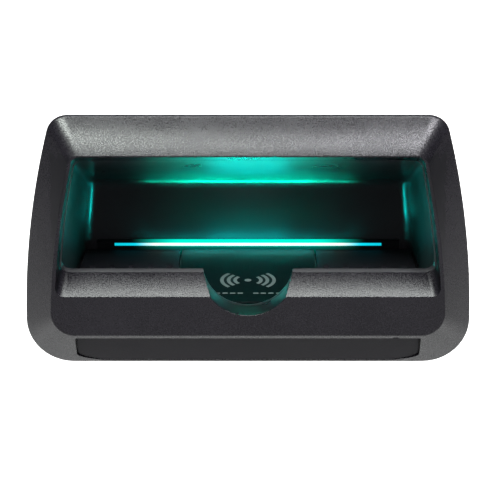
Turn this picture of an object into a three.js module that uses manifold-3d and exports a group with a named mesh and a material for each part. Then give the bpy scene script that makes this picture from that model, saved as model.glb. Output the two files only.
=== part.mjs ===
// A wireless charging pocket for phones that is let into a panel: a bevelled bezel in front,
// a tub with a sloped ceiling behind it, a charging pad, a light bar and an electronics housing.
// Millimetres. +X is right, +Y goes into the panel, +Z is up.
// The origin is the middle of the panel cut-out, on the panel's front face.
import * as THREE from 'three';
import { mergeVertices } from 'three/addons/utils/BufferGeometryUtils.js';
import Module from 'manifold-3d';

const wasm = await Module();
wasm.setup();

// ---------------------------------------------------------------- driving dimensions

const GAP = 0.3; // clearance between pieces that touch

const BEZEL = {
  halfHeight: 65,
  side: { x: 110.4, z: -47, radius: 420 }, // widest point and bow of the side edges
  topCorner: 10.5,
  bottomCorner: 23,
  rear: -0.4,
  edgeHeight: 2.4, // upright rim before the bevel starts
  edgeRound: 0.55,
  bevelFoot: -3.3, // depth of the bevel's foot
  footInset: 1,
  wall: 2.4,
  stand: 15.2, // how far the front plane stands off the panel at z = 0
  lean: 0.0175, // the front plane comes forward this much per mm going down
  creaseBottom: -44.7,
  creaseTop: 48.6,
  creaseMargin: 1.7,
  creaseCorner: 11.5,
  mouthWall: 2.2,
  footSolid: { half: 88, depth: 2.5, bottom: -64 }, // the solid foot under the flange
};

const MOUTH = {
  top: 47.8,
  bottom: -24.1,
  side: { x: 95.5, z: -52, radius: 440 },
  topCorner: 4,
  bottomCorner: 4.5,
  lipBack: -14.6, // height of the lip where it meets the tub
};

const SCOOP = { radius: 22.4, bottom: -34 };

const FLANGE = { rear: -1.3, front: -3.3, inset: 4.2, bottom: -58.5, bottomCorner: 16.5 };
const GASKET = { rear: 0, front: -1 };

const CUTOUT = {
  top: 46,
  bottom: -54,
  side: { x: 98.3, z: -47, radius: 430 },
  topCorner: 10,
  bottomCorner: 18,
};

const TUB = {
  back: 78,
  wall: 2.4,
  floor: -38.2,
  side: { x: 86.8, z: -52, radius: 440 }, // at the back wall
  floorCorner: 1.2,
  ceilingSlope: 0.494,
  ceilingFillet: 8.3,
  cornerFillet: 4.5,
};

const PAD = { half: 35, front: -0.3, back: 73.3, frontTop: -33.3, backTop: -34.9, bottom: -37.9 };
const MAT = { inner: 35.6, outerFront: 89, outerBack: 85.3, backCorner: 4, drop: 0.2 };
const GROOVE = { count: 5, first: 40.5, pitch: 10, width: 2.4, depth: 0.8, end: 48 };

const COIL = { y: 38, outer: 22, inner: 10, bottom: -37, height: 1 };
const COIL_POCKET = { half: 27, top: -35.7, window: 26 };
const FERRITE = { half: 25, corner: 3, bottom: -38.1, top: -37.3 };

const LIGHT = { half: 79.6, front: 73.8, back: 77.4, bottom: -37.9, top: -31.1 };
const CHANNEL = { half: 73, front: 1, below: 0.6, above: 0.7 }; // walls of the bar round its hollow
const WINDOW = { half: 70.4, front: 73.85, back: 75.2, bottom: -33.3, top: -32.1 };
const LED = { count: 10, pitch: 14, width: 3, front: 75.5, back: 76.4, bottom: -33.4, top: -32 };
const LED_BOARD = { half: 72, thickness: 0.6, bottom: -37, top: -32 };

// The strip leans less than the bevel, so its top lies under a ledge and its foot is flush.
const STRIP = {
  lean: 22, // degrees from upright
  foot: 22, // distance down the bevel from the crease
  length: 18.7,
  half: 84.9,
  cornerHeight: 5.5,
  cornerReach: 13,
  cornerPull: 2.1, // height of the corner curve's control point above the foot
  thickness: 1.2,
  recess: 1.5,
  gap: 0.5,
  backing: 1.6, // wall behind and around the recess
};
const NOTCH = { x: 73, radius: 1.8, rise: 0.3 };

const HOUSING = {
  half: 80,
  front: 4,
  back: 78,
  top: -42,
  bottom: -52.4,
  wall: 2.2,
  corner: 6,
};

const BOARD = { half: 62, front: 14, back: 66, top: -43.8, bottom: -45.4, corner: 3 };

// Parts under the charger board: middle, plan size or radius, and height.
const CHIP = { x: -8, y: 38, width: 9, height: 1 };
const INDUCTOR = { x: 16, y: 44, width: 10, height: 3.6 };
const CONNECTOR = { x: 48, y: 50, width: 8, height: 3.8 };
const CAPACITOR = { x: 32, ys: [30, 42], radius: 3.2, height: 4 };

// The cable gland in the back of the housing. Each ring is its front, back and outer radius.
const GLAND = { x: 50, z: -46.1, hole: 2.8, thread: 2.5, bore: 1.5, front: 71.5, back: 87 };
const GLAND_COLLAR = [79.4, 81.4, 4.4];
const GLAND_SEAL = [78.3, 79.1, 3.9];
const GLAND_NUT = [72.4, 75.5, 3.8];
const GLAND_CAP = [82, 89, 4.3];

const PANEL_SCREWS = [[-80, 54.5], [80, 54.5], [-96.6, -51], [96.6, -51]];
const BEZEL_SCREWS = [[-60, -50.5], [60, -50.5]];
const BEZEL_SCREW_HEAD = -6.2;
const HOUSING_SCREWS = [[-72, 12], [72, 12], [-72, 69], [72, 69]];
const BOARD_SCREWS = [[-57, 19], [57, 19], [-57, 61], [57, 61]];
const HOUSING_SCREW_HEAD = -52.2;
const BOARD_SCREW_HEAD = -46.6;

// Radii of screw holes, of the wells for their heads, and of the bosses round them.
const PANEL_HOLE = { shank: 1.9, head: 3.5, depth: 1.6 };
const BEZEL_HOLE = { thread: 1.5, well: 2.9, wellDepth: 1.4, boss: 4.4, catchBoss: 2.9, catchEnd: 1.2 };
const HOUSING_HOLE = { thread: 1.5, well: 2.9, wellTop: -50.6, boss: 3, bossBottom: -48.3 };
const FOOT_BOSS = { radius: 4.4, top: -48.6 };
const BOARD_HOLE = { thread: 1.2, boss: 2.4, top: -41.5 };

// The bezel's tongues hang behind the hooked catches of the flange.
const HOOKS = [-50, 50];
const TONGUE = { half: 6, front: -5, bottom: 51.5, top: 60.5 };
const CATCH = { half: 5, front: -6.9, back: -5.3, bottom: 48.3, ledge: 50.6, top: 55 };
const CLIPS = [-76, -26, 26, 76];
const CLIP = { half: 4, top: 6.4, bottom: 7.8, reach: 1.4 };

const FAR = 100; // beyond every piece, for cuts that go right through
const CUT = 8; // how far a cut into the bevel starts in front of it
const CORNER_STEPS = 7;
const SIDE_STEPS = 5;

// ---------------------------------------------------------------- solids

function toSolid(geometry) {
  const bare = geometry.clone();
  bare.deleteAttribute('normal');
  bare.deleteAttribute('uv');
  const merged = mergeVertices(bare, 1e-5);
  return new wasm.Manifold(new wasm.Mesh({
    numProp: 3,
    vertProperties: new Float32Array(merged.attributes.position.array),
    triVerts: new Uint32Array(merged.index.array),
  }));
}

function toGeometry(solid) {
  const mesh = solid.getMesh();
  const geometry = new THREE.BufferGeometry();
  geometry.setAttribute('position', new THREE.BufferAttribute(mesh.vertProperties, 3));
  geometry.setIndex(new THREE.BufferAttribute(mesh.triVerts, 1));
  geometry.computeVertexNormals();
  return geometry;
}

function boxSolid(x0, x1, y0, y1, z0, z1) {
  const geometry = new THREE.BoxGeometry(x1 - x0, y1 - y0, z1 - z0);
  geometry.translate((x0 + x1) / 2, (y0 + y1) / 2, (z0 + z1) / 2);
  return toSolid(geometry);
}

// A cylinder between two points; with a second radius it is a cone.
function rodSolid(from, to, radius, sides = 16, endRadius = radius) {
  const start = new THREE.Vector3(...from);
  const along = new THREE.Vector3(...to).sub(start);
  const geometry = new THREE.CylinderGeometry(endRadius, radius, along.length(), sides);
  const direction = along.clone().normalize();
  const turn = new THREE.Quaternion().setFromUnitVectors(new THREE.Vector3(0, 1, 0), direction);
  geometry.applyQuaternion(turn);
  geometry.translate(...start.addScaledVector(along, 0.5).toArray());
  return toSolid(geometry);
}

// A flat shape pushed through a depth, with its x, y and depth laid along three directions.
function extrudeSolid(shape, depth, basis) {
  const options = { depth, bevelEnabled: false, curveSegments: CORNER_STEPS };
  const geometry = new THREE.ExtrudeGeometry(shape, options);
  geometry.applyMatrix4(basis);
  return toSolid(geometry);
}

// A plate seen from above: its shape is drawn in x and y, and it rises from z0 to z1.
function plateSolid(shape, z0, z1) {
  return extrudeSolid(shape, z1 - z0, new THREE.Matrix4().makeTranslation(0, 0, z0));
}

function joinAll(first, others) {
  return others.reduce((whole, piece) => whole.add(piece), first);
}

function cutAll(first, cutters) {
  return cutters.reduce((whole, cutter) => whole.subtract(cutter), first);
}

function roundedRectangle(x0, x1, y0, y1, radius) {
  const shape = new THREE.Shape();
  shape.moveTo(x0 + radius, y0);
  shape.lineTo(x1 - radius, y0);
  shape.absarc(x1 - radius, y0 + radius, radius, -Math.PI / 2, 0, false);
  shape.lineTo(x1, y1 - radius);
  shape.absarc(x1 - radius, y1 - radius, radius, 0, Math.PI / 2, false);
  shape.lineTo(x0 + radius, y1);
  shape.absarc(x0 + radius, y1 - radius, radius, Math.PI / 2, Math.PI, false);
  shape.lineTo(x0, y0 + radius);
  shape.absarc(x0 + radius, y0 + radius, radius, Math.PI, Math.PI * 1.5, false);
  return shape;
}

// ---------------------------------------------------------------- outlines and lofts

// Right-hand half of an outline in x and z, from the bottom up. The side is an arc, and both
// corners are rounded into level top and bottom edges.
function halfOutline({ top, bottom, side, topCorner, bottomCorner }) {
  const centreX = side.x - side.radius;
  const reach = (corner, z) => Math.sqrt((side.radius - corner) ** 2 - (z - side.z) ** 2);
  const lowZ = bottom + bottomCorner;
  const highZ = top - topCorner;
  const lowX = centreX + reach(bottomCorner, lowZ);
  const highX = centreX + reach(topCorner, highZ);
  const lowTurn = Math.atan2(lowZ - side.z, lowX - centreX);
  const highTurn = Math.atan2(highZ - side.z, highX - centreX);
  const points = [];
  for (let i = 0; i <= CORNER_STEPS; i += 1) {
    const angle = -Math.PI / 2 + (lowTurn + Math.PI / 2) * (i / CORNER_STEPS);
    points.push([lowX + bottomCorner * Math.cos(angle), lowZ + bottomCorner * Math.sin(angle)]);
  }
  for (let i = 1; i < SIDE_STEPS; i += 1) {
    const angle = lowTurn + (highTurn - lowTurn) * (i / SIDE_STEPS);
    points.push([centreX + side.radius * Math.cos(angle), side.z + side.radius * Math.sin(angle)]);
  }
  for (let i = 0; i <= CORNER_STEPS; i += 1) {
    const angle = highTurn + (Math.PI / 2 - highTurn) * (i / CORNER_STEPS);
    points.push([highX + topCorner * Math.cos(angle), highZ + topCorner * Math.sin(angle)]);
  }
  return points;
}

function outline(dims) {
  const right = halfOutline(dims);
  const left = right.map(([x, z]) => [-x, z]).reverse();
  return [...right, ...left];
}

// The same outline moved inwards all round; a negative amount moves it outwards.
function inset(dims, amount) {
  return {
    top: dims.top - amount,
    bottom: dims.bottom + amount,
    side: { x: dims.side.x - amount, z: dims.side.z, radius: dims.side.radius - amount },
    topCorner: dims.topCorner - amount,
    bottomCorner: dims.bottomCorner - amount,
  };
}

function ring(dims, depth) {
  const depthAt = typeof depth === 'function' ? depth : () => depth;
  return outline(dims).map(([x, z]) => new THREE.Vector3(x, depthAt(z), z));
}

// A closed body through rings that run from front to back.
function loftSolid(rings) {
  const count = rings[0].length;
  const positions = rings.flat().flatMap((p) => p.toArray());
  const index = [];
  for (let r = 0; r < rings.length - 1; r += 1) {
    for (let i = 0; i < count; i += 1) {
      const a = r * count + i;
      const b = r * count + (i + 1) % count;
      index.push(a, a + count, b, b, a + count, b + count);
    }
  }
  const last = (rings.length - 1) * count;
  const flatten = (points) => points.map((p) => new THREE.Vector2(p.x, p.z));
  for (const [a, b, c] of THREE.ShapeUtils.triangulateShape(flatten(rings[0]), [])) {
    index.push(a, b, c);
  }
  for (const [a, b, c] of THREE.ShapeUtils.triangulateShape(flatten(rings.at(-1)), [])) {
    index.push(last + a, last + c, last + b);
  }
  const geometry = new THREE.BufferGeometry();
  geometry.setAttribute('position', new THREE.Float32BufferAttribute(positions, 3));
  geometry.setIndex(index);
  return toSolid(geometry);
}

function plateFromOutline(dims, front, back) {
  return loftSolid([ring(dims, front), ring(dims, back)]);
}

// ---------------------------------------------------------------- shared shapes

const BEZEL_OUTLINE = {
  top: BEZEL.halfHeight,
  bottom: -BEZEL.halfHeight,
  side: BEZEL.side,
  topCorner: BEZEL.topCorner,
  bottomCorner: BEZEL.bottomCorner,
};

const CREASE_OUTLINE = {
  top: BEZEL.creaseTop,
  bottom: BEZEL.creaseBottom,
  side: { ...MOUTH.side, x: MOUTH.side.x + BEZEL.creaseMargin },
  topCorner: MOUTH.topCorner + BEZEL.creaseMargin,
  bottomCorner: BEZEL.creaseCorner,
};

const FLANGE_OUTLINE = {
  ...inset(BEZEL_OUTLINE, FLANGE.inset),
  bottom: FLANGE.bottom,
  bottomCorner: FLANGE.bottomCorner,
};

// Depth of the leaning front plane at a height, moved back by an amount.
function frontPlane(back = 0) {
  return (z) => -(BEZEL.stand - BEZEL.lean * z) + back;
}

const mouthFront = frontPlane()(0);
const BEZEL_BACK = FLANGE.front - GAP; // the bezel's rear where the flange lies behind it

// The side arc of the pocket at a depth, between the mouth and the back wall.
function pocketSide(y) {
  const t = (y - mouthFront) / (TUB.back - mouthFront);
  return {
    x: MOUTH.side.x + (TUB.side.x - MOUTH.side.x) * t,
    z: MOUTH.side.z + (TUB.side.z - MOUTH.side.z) * t,
    radius: MOUTH.side.radius,
  };
}

function ceilingHeight(y) {
  return MOUTH.top - TUB.ceilingSlope * (y - frontPlane()(MOUTH.top));
}

function lipHeight(y) {
  const rise = (MOUTH.lipBack - MOUTH.bottom) / (FLANGE.rear - mouthFront);
  return MOUTH.bottom + rise * (y - mouthFront);
}

function mouthOutline(y) {
  return {
    top: ceilingHeight(y),
    bottom: lipHeight(y),
    side: pocketSide(y),
    topCorner: MOUTH.topCorner,
    bottomCorner: MOUTH.bottomCorner,
  };
}

function scoopSolid(extra, front, back) {
  const z = SCOOP.bottom + SCOOP.radius;
  return rodSolid([0, front, z], [0, back, z], SCOOP.radius + extra, 48);
}

// The open space from in front of the bezel to the tub, with the thumb scoop.
function mouthSolid(extra, back) {
  const reach = 3;
  const ahead = mouthFront - reach;
  const tunnel = loftSolid([
    ring(inset(mouthOutline(ahead), -extra), frontPlane(-reach)),
    ring(inset(mouthOutline(mouthFront), -extra), frontPlane()),
    ring(inset(mouthOutline(back), -extra), back),
  ]);
  return tunnel.add(scoopSolid(extra, ahead, back));
}

// The inside of the tub, grown by an amount. Its ceiling is rounded into the back wall, and its
// sides are rounded into it as well.
function tubSpace(extra, front) {
  const slope = Math.atan(TUB.ceilingSlope);
  const turn = Math.PI / 2 - slope;
  const fillet = TUB.ceilingFillet;
  const tangent = fillet * Math.tan(turn / 2);
  const cornerZ = ceilingHeight(TUB.back);
  const centreZ = cornerZ - tangent;
  const centreY = TUB.back - fillet;
  const rings = [];
  const addRing = (y, top, squeeze) => {
    const side = pocketSide(y);
    const dims = {
      top,
      bottom: TUB.floor,
      side: { ...side, x: side.x - squeeze },
      topCorner: MOUTH.topCorner,
      bottomCorner: TUB.floorCorner,
    };
    const grownY = y + extra * Math.max(0, (y - centreY) / fillet);
    rings.push(ring(inset(dims, -extra), grownY));
  };
  addRing(front, ceilingHeight(front), 0);
  addRing(centreY, ceilingHeight(centreY), 0);
  const steps = 6;
  for (let i = 1; i <= steps; i += 1) {
    const angle = (Math.PI / 2) * (i / steps);
    const y = centreY + fillet * Math.sin(angle);
    const rounded = y > centreY + fillet * Math.sin(slope);
    const top = rounded ? centreZ + fillet * Math.cos(angle) : ceilingHeight(y);
    addRing(y, top, TUB.cornerFillet * (1 - Math.cos(angle)));
  }
  return loftSolid(rings);
}

// The lower bevel runs from the crease to its foot; the strip's foot lies on it.
const bevelHead = new THREE.Vector3(0, frontPlane()(BEZEL.creaseBottom), BEZEL.creaseBottom);
const bevelFoot = new THREE.Vector3(0, BEZEL.bevelFoot, BEZEL.footInset - BEZEL.halfHeight);
const bevelDown = bevelFoot.clone().sub(bevelHead).normalize();
const stripFoot = bevelHead.clone().addScaledVector(bevelDown, STRIP.foot);

// The strip's own frame: x across, y down its face from its top edge, z inwards.
const stripLean = THREE.MathUtils.degToRad(STRIP.lean);
const stripAcross = new THREE.Vector3(1, 0, 0);
const stripDown = new THREE.Vector3(0, Math.sin(stripLean), -Math.cos(stripLean));
const stripInward = stripAcross.clone().cross(stripDown);
const stripFrame = new THREE.Matrix4()
  .makeBasis(stripAcross, stripDown, stripInward)
  .setPosition(stripFoot.clone().addScaledVector(stripDown, -STRIP.length));

function stripShape(grow) {
  const half = STRIP.half + grow;
  const bottom = STRIP.length + grow;
  const cornerTop = bottom - STRIP.cornerHeight;
  const pull = bottom - STRIP.cornerPull;
  const reach = half - STRIP.cornerReach;
  const shape = new THREE.Shape();
  shape.moveTo(-half, -grow);
  shape.lineTo(half, -grow);
  shape.lineTo(half, cornerTop);
  shape.quadraticCurveTo(half, pull, reach, bottom);
  shape.lineTo(-reach, bottom);
  shape.quadraticCurveTo(-half, pull, -half, cornerTop);
  return shape;
}

function onStrip(shape, from, to) {
  const basis = stripFrame.clone().multiply(new THREE.Matrix4().makeTranslation(0, 0, from));
  return extrudeSolid(shape, to - from, basis);
}

function clipShape(x, grow) {
  const half = CLIP.half + grow;
  const shape = new THREE.Shape();
  shape.moveTo(x - half, CLIP.top - grow);
  shape.lineTo(x + half, CLIP.top - grow);
  shape.lineTo(x + half, CLIP.bottom + grow);
  shape.lineTo(x - half, CLIP.bottom + grow);
  return shape;
}

// ---------------------------------------------------------------- bezel and its cover strip

function bezelBody() {
  const { rear, edgeHeight, edgeRound } = BEZEL;
  return loftSolid([
    ring(CREASE_OUTLINE, frontPlane()),
    ring(inset(BEZEL_OUTLINE, BEZEL.footInset), BEZEL.bevelFoot),
    ring(inset(BEZEL_OUTLINE, BEZEL.footInset * 0.3), -edgeHeight - edgeRound),
    ring(BEZEL_OUTLINE, -edgeHeight),
    ring(BEZEL_OUTLINE, rear),
  ]);
}

function bezelHollow() {
  const { wall, edgeHeight } = BEZEL;
  const creaseShift = 0.9; // keeps the wall even behind the crease
  return loftSolid([
    ring(inset(CREASE_OUTLINE, creaseShift), frontPlane(wall)),
    ring(inset(BEZEL_OUTLINE, wall), -edgeHeight),
    ring(inset(BEZEL_OUTLINE, wall), 2),
  ]);
}

function bezelScrewBoss([x, z]) {
  return rodSolid([x, bevelHead.y, z], [x, BEZEL_BACK, z], BEZEL_HOLE.boss, 20);
}

function bezelScrewHole([x, z]) {
  const { thread, well, wellDepth } = BEZEL_HOLE;
  const wide = rodSolid([x, -FAR, z], [x, BEZEL_SCREW_HEAD + wellDepth, z], well, 16);
  return wide.add(rodSolid([x, -FAR, z], [x, FAR, z], thread, 12));
}

function bezelTongue(x) {
  const { half, front, bottom, top } = TONGUE;
  return boxSolid(x - half, x + half, front, BEZEL_BACK, bottom, top);
}

// The walls behind and around the strip's recess, and the solid foot below the flange.
function stripBacking() {
  const { half, depth, bottom } = BEZEL.footSolid;
  const walls = onStrip(stripShape(STRIP.backing), -CUT, STRIP.recess + STRIP.backing)
    .intersect(boxSolid(-FAR, FAR, -FAR, BEZEL_BACK, -FAR, 0));
  return walls.add(boxSolid(-half, half, BEZEL_BACK - depth, BEZEL.rear, bottom, FLANGE.bottom - GAP));
}

function pryNotch() {
  const shape = new THREE.Shape();
  shape.absarc(NOTCH.x, NOTCH.rise, NOTCH.radius, 0, Math.PI * 2, false);
  return onStrip(shape, -CUT, STRIP.recess);
}

function frontBezel() {
  const body = bezelBody();
  const mouthWall = mouthSolid(BEZEL.mouthWall, BEZEL_BACK);
  const frame = body.subtract(bezelHollow().subtract(mouthWall));
  const bosses = joinAll(bezelScrewBoss(BEZEL_SCREWS[0]), [bezelScrewBoss(BEZEL_SCREWS[1])]);
  const solid = joinAll(frame, [stripBacking().add(bosses).intersect(body), ...HOOKS.map(bezelTongue)]);
  return cutAll(solid, [
    mouthSolid(0, FLANGE.rear),
    onStrip(stripShape(STRIP.gap), -CUT, STRIP.recess),
    pryNotch(),
    ...BEZEL_SCREWS.map(bezelScrewHole),
    ...CLIPS.map((x) => onStrip(clipShape(x, GAP), 0, CUT)),
  ]);
}

function coverStrip() {
  const clipEnd = STRIP.thickness + CLIP.reach;
  const clips = CLIPS.map((x) => onStrip(clipShape(x, 0), STRIP.thickness - 0.5, clipEnd));
  return joinAll(onStrip(stripShape(0), 0, STRIP.thickness), clips);
}

// ---------------------------------------------------------------- tub

function panelScrewHole([x, z]) {
  const { shank, head, depth } = PANEL_HOLE;
  const through = rodSolid([x, FLANGE.front - 1, z], [x, GASKET.rear + 1, z], shank, 14);
  const sunk = rodSolid([x, FLANGE.front - 0.1, z], [x, FLANGE.front + depth, z], head, 14, shank);
  return through.add(sunk);
}

function hookCatch(x) {
  const { half, front, back, bottom, ledge, top } = CATCH;
  const post = boxSolid(x - half, x + half, front, FLANGE.front + 0.5, bottom, ledge);
  return post.add(boxSolid(x - half, x + half, front, back, bottom, top));
}

function flangeBoss([x, z]) {
  return rodSolid([x, FLANGE.rear - 0.5, z], [x, BEZEL_HOLE.catchEnd, z], BEZEL_HOLE.catchBoss);
}

function housingBoss([x, y]) {
  return rodSolid([x, y, HOUSING_HOLE.bossBottom], [x, y, TUB.floor - 1], HOUSING_HOLE.boss);
}

function boardBoss([x, y]) {
  return rodSolid([x, y, BOARD.top + GAP], [x, y, TUB.floor - 1], BOARD_HOLE.boss, 12);
}

// A hole up into a boss under the tub, from below to a height.
function tubHole([x, y], top, radius) {
  return rodSolid([x, y, -FAR], [x, y, top], radius, 12);
}

function pocketTub() {
  const flange = plateFromOutline(FLANGE_OUTLINE, FLANGE.front, FLANGE.rear);
  const solid = joinAll(flange, [
    tubSpace(TUB.wall, FLANGE.rear - 0.5),
    ...HOOKS.map(hookCatch),
    ...BEZEL_SCREWS.map(flangeBoss),
    ...HOUSING_SCREWS.map(housingBoss),
    ...BOARD_SCREWS.map(boardBoss),
  ]);
  const half = COIL_POCKET.window;
  const window = boxSolid(-half, half, COIL.y - half, COIL.y + half, HOUSING.top, TUB.floor + TUB.wall);
  return cutAll(solid, [
    tubSpace(0.1, FLANGE.rear),
    mouthSolid(0, FLANGE.rear + 1),
    window,
    ...PANEL_SCREWS.map(panelScrewHole),
    ...BEZEL_SCREWS.map(([x, z]) => rodSolid([x, FLANGE.front - 1, z], [x, 2, z], BEZEL_HOLE.thread, 12)),
    ...HOUSING_SCREWS.map((spot) => tubHole(spot, HOUSING.top, HOUSING_HOLE.thread)),
    ...BOARD_SCREWS.map((spot) => tubHole(spot, BOARD_HOLE.top, BOARD_HOLE.thread)),
  ]);
}

function flangeGasket() {
  const outer = plateFromOutline(inset(FLANGE_OUTLINE, GAP), GASKET.front, GASKET.rear);
  const inner = plateFromOutline(inset(CUTOUT, -0.2), GASKET.front - 1, GASKET.rear + 1);
  return cutAll(outer, [inner, ...PANEL_SCREWS.map(panelScrewHole)]);
}

// ---------------------------------------------------------------- pad and mats

function padTop(y, drop = 0) {
  const t = (y - PAD.front) / (PAD.back - PAD.front);
  return PAD.frontTop + (PAD.backTop - PAD.frontTop) * t - drop;
}

// A slab with a sloped top and eased front and back edges, drawn from the side.
function slabSolid(x0, x1, drop) {
  const ease = 0.8;
  const shape = new THREE.Shape();
  shape.moveTo(PAD.front, PAD.bottom);
  shape.lineTo(PAD.back, PAD.bottom);
  shape.lineTo(PAD.back, padTop(PAD.back, drop) - ease);
  shape.lineTo(PAD.back - ease, padTop(PAD.back - ease, drop));
  shape.lineTo(PAD.front + ease, padTop(PAD.front + ease, drop));
  shape.lineTo(PAD.front, padTop(PAD.front, drop) - ease);
  const basis = new THREE.Matrix4().makeBasis(
    new THREE.Vector3(0, 1, 0),
    new THREE.Vector3(0, 0, 1),
    new THREE.Vector3(1, 0, 0),
  ).setPosition(x0, 0, 0);
  return extrudeSolid(shape, x1 - x0, basis);
}

function chargingPad() {
  const near = COIL.y - COIL_POCKET.half;
  const far = COIL.y + COIL_POCKET.half;
  const pocket = boxSolid(-COIL_POCKET.half, COIL_POCKET.half, near, far, PAD.bottom - 1, COIL_POCKET.top);
  return slabSolid(-PAD.half, PAD.half, 0).subtract(pocket);
}

// The right mat seen from above; its outer edge follows the taper of the tub.
function matPlan() {
  const { inner, outerFront, outerBack, backCorner } = MAT;
  const shape = new THREE.Shape();
  shape.moveTo(inner - 1, PAD.front - 1);
  shape.lineTo(outerFront, PAD.front - 1);
  shape.lineTo(outerBack, PAD.back - backCorner);
  shape.quadraticCurveTo(outerBack, PAD.back, outerBack - backCorner, PAD.back);
  shape.lineTo(inner - 1, PAD.back);
  return shape;
}

function gripMat(sign) {
  const body = slabSolid(MAT.inner, MAT.outerFront, MAT.drop);
  const grooves = [];
  for (let i = 0; i < GROOVE.count; i += 1) {
    const x0 = GROOVE.first + i * GROOVE.pitch - GROOVE.width / 2;
    const low = padTop(GROOVE.end, MAT.drop) - GROOVE.depth;
    grooves.push(boxSolid(x0, x0 + GROOVE.width, PAD.front - 5, GROOVE.end, low, low + 5));
  }
  const right = cutAll(body.intersect(plateSolid(matPlan(), PAD.bottom - 5, PAD.frontTop + 5)), grooves);
  return sign > 0 ? right : right.mirror([1, 0, 0]);
}

// ---------------------------------------------------------------- lighting

function lightBar() {
  const bar = boxSolid(-LIGHT.half, LIGHT.half, LIGHT.front, LIGHT.back, LIGHT.bottom, LIGHT.top);
  const { half, front, below, above } = CHANNEL;
  const start = LIGHT.front + front;
  const channel = boxSolid(-half, half, start, LIGHT.back + 1, LIGHT.bottom + below, LIGHT.top - above);
  const reach = WINDOW.half + GAP;
  const [slotBottom, slotTop] = [WINDOW.bottom - GAP, WINDOW.top + GAP];
  const slot = boxSolid(-reach, reach, LIGHT.front - 1, start + 1, slotBottom, slotTop);
  return cutAll(bar, [channel, slot]);
}

function lightWindow() {
  return boxSolid(-WINDOW.half, WINDOW.half, WINDOW.front, WINDOW.back, WINDOW.bottom, WINDOW.top);
}

function ledBoard() {
  const { half, thickness, bottom, top } = LED_BOARD;
  const front = LED.back + GAP;
  return boxSolid(-half, half, front, front + thickness, bottom, top);
}

function ledChip(i) {
  const x = (i - (LED.count - 1) / 2) * LED.pitch;
  return boxSolid(x - LED.width / 2, x + LED.width / 2, LED.front, LED.back, LED.bottom, LED.top);
}

// ---------------------------------------------------------------- charging electronics

function chargingCoil() {
  const shape = new THREE.Shape();
  shape.absarc(0, COIL.y, COIL.outer, 0, Math.PI * 2, false);
  const hole = new THREE.Path();
  hole.absarc(0, COIL.y, COIL.inner, 0, Math.PI * 2, true);
  shape.holes.push(hole);
  const options = { depth: COIL.height, bevelEnabled: false, curveSegments: 24 };
  const geometry = new THREE.ExtrudeGeometry(shape, options);
  geometry.translate(0, 0, COIL.bottom);
  return toSolid(geometry);
}

function ferritePlate() {
  const { half, corner, bottom, top } = FERRITE;
  return plateSolid(roundedRectangle(-half, half, COIL.y - half, COIL.y + half, corner), bottom, top);
}

function chargerBoard() {
  const shape = roundedRectangle(-BOARD.half, BOARD.half, BOARD.front, BOARD.back, BOARD.corner);
  const board = plateSolid(shape, BOARD.bottom, BOARD.top);
  return cutAll(board, BOARD_SCREWS.map((spot) => tubHole(spot, FAR, BOARD_HOLE.thread)));
}

function boardPart({ x, y, width, height }) {
  const top = BOARD.bottom - GAP;
  const half = width / 2;
  return boxSolid(x - half, x + half, y - half, y + half, top - height, top);
}

function boardCan(y) {
  const top = BOARD.bottom - GAP;
  return rodSolid([CAPACITOR.x, y, top - CAPACITOR.height], [CAPACITOR.x, y, top], CAPACITOR.radius, 20);
}

function electronicsHousing() {
  const { half, front, back, top, bottom, wall, corner } = HOUSING;
  const outer = plateSolid(roundedRectangle(-half, half, front, back, corner), bottom, top);
  const inner = plateSolid(
    roundedRectangle(-half + wall, half - wall, front + wall, back - wall, corner - wall),
    bottom + wall,
    top + 5,
  );
  const bosses = HOUSING_SCREWS.map(([x, y]) => (
    rodSolid([x, y, bottom + 1], [x, y, FOOT_BOSS.top], FOOT_BOSS.radius, 20)
  ));
  const holes = HOUSING_SCREWS.map(([x, y]) => {
    const wide = rodSolid([x, y, -FAR], [x, y, HOUSING_HOLE.wellTop], HOUSING_HOLE.well);
    return wide.add(tubHole([x, y], FAR, HOUSING_HOLE.thread));
  });
  const inlet = glandRod(HOUSING.back - wall - 1, FAR, GLAND.hole, 20);
  return cutAll(joinAll(outer.subtract(inner), bosses), [...holes, inlet]);
}

function housingSeal() {
  const { half, front, back, wall, corner } = HOUSING;
  const shape = roundedRectangle(-half, half, front, back, corner);
  shape.holes.push(roundedRectangle(-half + wall, half - wall, front + wall, back - wall, corner - wall));
  return plateSolid(shape, HOUSING.top + GAP, TUB.floor - TUB.wall - GAP);
}

function glandRod(from, to, radius, sides) {
  return rodSolid([GLAND.x, from, GLAND.z], [GLAND.x, to, GLAND.z], radius, sides);
}

function glandRing([from, to, outer], sides) {
  return glandRod(from, to, outer, sides).subtract(glandRod(from - 1, to + 1, GLAND.hole, 20));
}

function glandBody() {
  const collar = glandRod(...GLAND_COLLAR, 6);
  const tube = glandRod(GLAND.front, GLAND.back, GLAND.thread, 20);
  return collar.add(tube).subtract(glandRod(0, FAR, GLAND.bore, 16));
}

// ---------------------------------------------------------------- fasteners

// A screw that points along a direction, with a cross recess in its head.
function screwSolid(at, direction, { head, headHeight, shank, length, countersunk = false }) {
  const step = (distance) => at.map((value, i) => value + direction[i] * distance);
  const headEnd = countersunk ? shank : head;
  const top = rodSolid(step(0), step(headHeight), head, 16, headEnd);
  const recess = rodSolid(step(-1), step(0.7), head * 0.35, 4);
  const stem = rodSolid(step(headHeight - 0.2), step(headHeight + length), shank, 12);
  return top.add(stem).subtract(recess);
}

const PANEL_SCREW = { head: 3.1, headHeight: 1.6, shank: 1.5, length: 14, countersunk: true };
const BEZEL_SCREW = { head: 2.5, headHeight: 1.1, shank: 1.2, length: 5 };
const HOUSING_SCREW = { head: 2.5, headHeight: 1.3, shank: 1.2, length: 8.3 };
const BOARD_SCREW = { head: 1.9, headHeight: 0.9, shank: 0.9, length: 3.6 };

// ---------------------------------------------------------------- materials and assembly

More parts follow.
